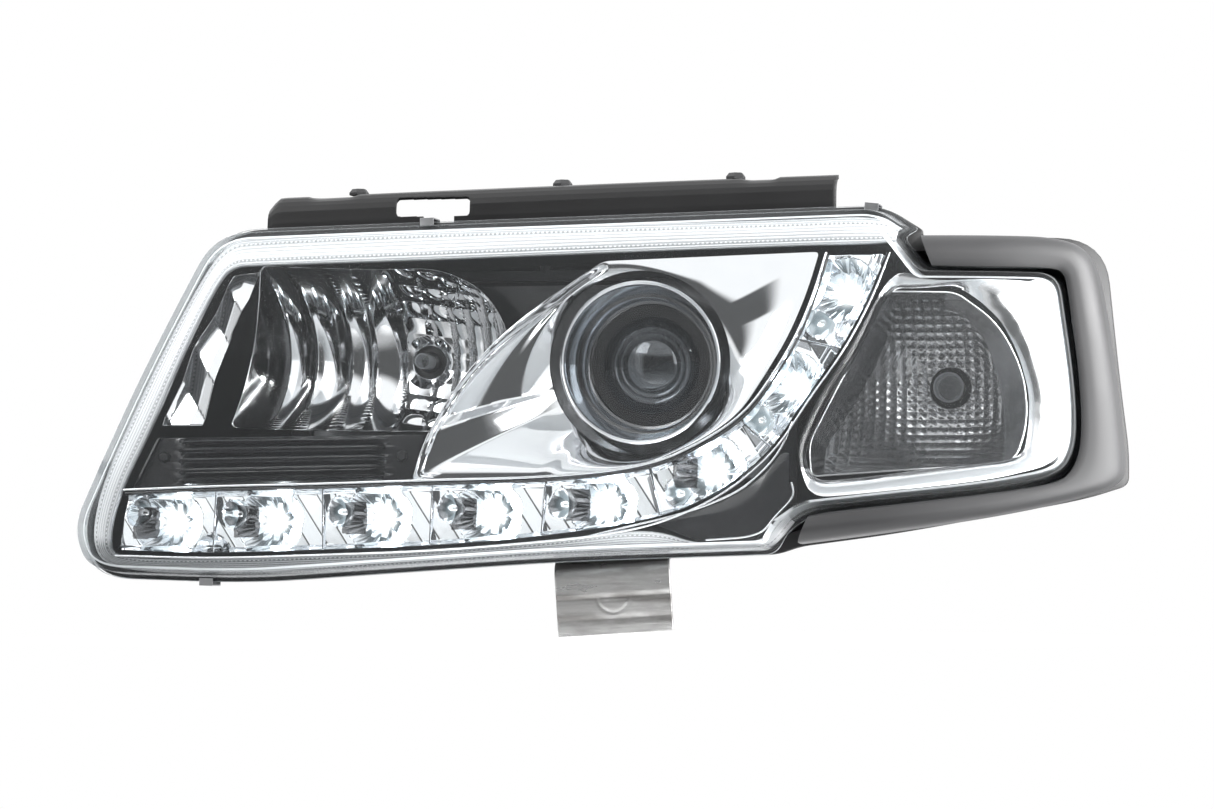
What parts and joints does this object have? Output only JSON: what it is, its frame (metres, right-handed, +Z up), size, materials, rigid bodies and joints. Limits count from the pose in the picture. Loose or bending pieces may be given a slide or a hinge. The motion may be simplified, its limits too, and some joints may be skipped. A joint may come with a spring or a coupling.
{
  "type": "car headlamp",
  "caption": "Left-hand car headlamp with a projector low beam, a reflector high beam, a curved LED daytime strip and a corner turn lamp behind one clear lens.",
  "frame": {"origin": "centre of the pad under the outer upper lug, where the lamp rests on the car's front panel", "axes": "+X to the outer side of the car, along the lamp's length; +Y to the rear of the car; +Z up; the beams point along -Y"},
  "size_m": [0.5852, 0.2403, 0.267],
  "materials": {
    "housing_black": "satin moulded",
    "satin_black": "gloss",
    "grey_plastic": "moulded, fine grain",
    "clear_lens": "clear polycarbonate, hard coated",
    "chrome": "vacuum-metallised, mirror",
    "dark_metal": "satin",
    "steel": "zinc plated",
    "rubber": "matte",
    "bulb_glass": "clear",
    "optical_glass": "polished",
    "board_white": "solder mask",
    "led_white": "lit"
  },
  "bodies": {
    "lamp_body": {"housing": "housing_black", "lens": "clear_lens", "lens_seal": "rubber", "upper_rail": "housing_black", "rail_screw_1": "steel", "rail_screw_2": "steel", "rail_screw_3": "steel", "outer_surround": "housing_black", "drl_reflector": "chrome", "drl_board": "board_white", "drl_led_1": "led_white", "drl_led_2": "led_white", "drl_led_3": "led_white", "drl_led_4": "led_white", "drl_led_5": "led_white", "drl_led_6": "led_white", "drl_led_7": "led_white", "drl_led_8": "led_white", "projector_bezel": "chrome", "shelf_panel": "satin_black", "shelf_screw_1": "steel", "shelf_screw_2": "steel", "side_reflector": "chrome", "lower_filler": "satin_black", "turn_bezel": "chrome", "turn_reflector": "chrome", "lower_bracket": "steel", "bracket_screw_1": "steel", "bracket_screw_2": "steel", "lens_clip_1": "steel", "lens_clip_2": "steel", "lens_clip_3": "steel", "lens_clip_4": "steel", "levelling_motor": "grey_plastic", "connector_socket": "grey_plastic", "breather_cap": "rubber"},
    "aim_frame": {"aim_frame": "grey_plastic"},
    "optics": {"optic_carrier": "grey_plastic", "high_beam_reflector": "chrome", "high_beam_bulb": "bulb_glass", "projector_shroud": "chrome", "lens_holder": "grey_plastic", "projector_lens": "optical_glass", "projector_bowl": "dark_metal", "cutoff_shield": "dark_metal", "low_beam_bulb": "bulb_glass"},
    "high_clip": {"high_beam_clip": "steel"},
    "low_clip": {"low_beam_clip": "steel"},
    "high_cap": {"high_beam_cap": "grey_plastic", "high_beam_cap_seal": "rubber"},
    "low_cap": {"low_beam_cap": "grey_plastic", "low_beam_cap_seal": "rubber"},
    "turn_socket": {"turn_bulb_holder": "grey_plastic", "turn_bulb": "bulb_glass"},
    "level_rod": {"level_rod": "steel"},
    "level_knob": {"level_knob": "grey_plastic"},
    "aim_rod": {"aim_rod": "steel"},
    "aim_knob": {"aim_knob": "grey_plastic"}
  },
  "joints": [
    {"name": "horizontal_aim", "type": "hinge", "parent": "lamp_body", "child": "aim_frame", "pos_m": [-0.07, 0.02, -0.1], "axis": [0, 0, 1], "range_deg": [-2, 2]},
    {"name": "vertical_aim", "type": "hinge", "parent": "aim_frame", "child": "optics", "pos_m": [-0.07, 0.02, -0.094], "axis": [1, 0, 0], "range_deg": [-2.5, 2.5]},
    {"name": "aim_rod_slide", "type": "slide", "parent": "lamp_body", "child": "aim_rod", "axis": [0, 1, 0], "range_m": [-0.0055, 0.0055]},
    {"name": "aim_knob_turn", "type": "hinge", "parent": "lamp_body", "child": "aim_knob", "pos_m": [-0.216, 0.064, -0.15], "axis": [0, 1, 0], "range_deg": [-640, 640]},
    {"name": "level_rod_slide", "type": "slide", "parent": "lamp_body", "child": "level_rod", "axis": [0, 1, 0], "range_m": [-0.0024, 0.0024]},
    {"name": "level_knob_turn", "type": "hinge", "parent": "lamp_body", "child": "level_knob", "pos_m": [-0.07, 0.094, -0.046], "axis": [0, 1, 0], "range_deg": [-270, 270]},
    {"name": "high_cap_turn", "type": "hinge", "parent": "lamp_body", "child": "high_cap", "pos_m": [-0.137, 0.07, -0.086], "axis": [0, 1, 0], "range_deg": [0, 30]},
    {"name": "low_cap_turn", "type": "hinge", "parent": "lamp_body", "child": "low_cap", "pos_m": [0.005, 0.07, -0.0915], "axis": [0, 1, 0], "range_deg": [0, 30]},
    {"name": "turn_socket_twist", "type": "hinge", "parent": "lamp_body", "child": "turn_socket", "pos_m": [0.166, 0.098, -0.102], "axis": [0, 1, 0], "range_deg": [0, 45]},
    {"name": "high_clip_swing", "type": "hinge", "parent": "optics", "child": "high_clip", "pos_m": [-0.152, 0.0159, -0.086], "axis": [0, 0, 1], "range_deg": [0, 75]},
    {"name": "low_clip_swing", "type": "hinge", "parent": "optics", "child": "low_clip", "pos_m": [-0.01, 0.0399, -0.0915], "axis": [0, 0, 1], "range_deg": [0, 75]}
  ],
  "couplings": [
    {"joint": "aim_rod_slide", "follows": "horizontal_aim", "m_per_rad": -0.146},
    {"joint": "aim_knob_turn", "follows": "horizontal_aim", "ratio": 305.78},
    {"joint": "level_rod_slide", "follows": "vertical_aim", "m_per_rad": -0.048},
    {"joint": "level_knob_turn", "follows": "vertical_aim", "ratio": 100.53}
  ]
}
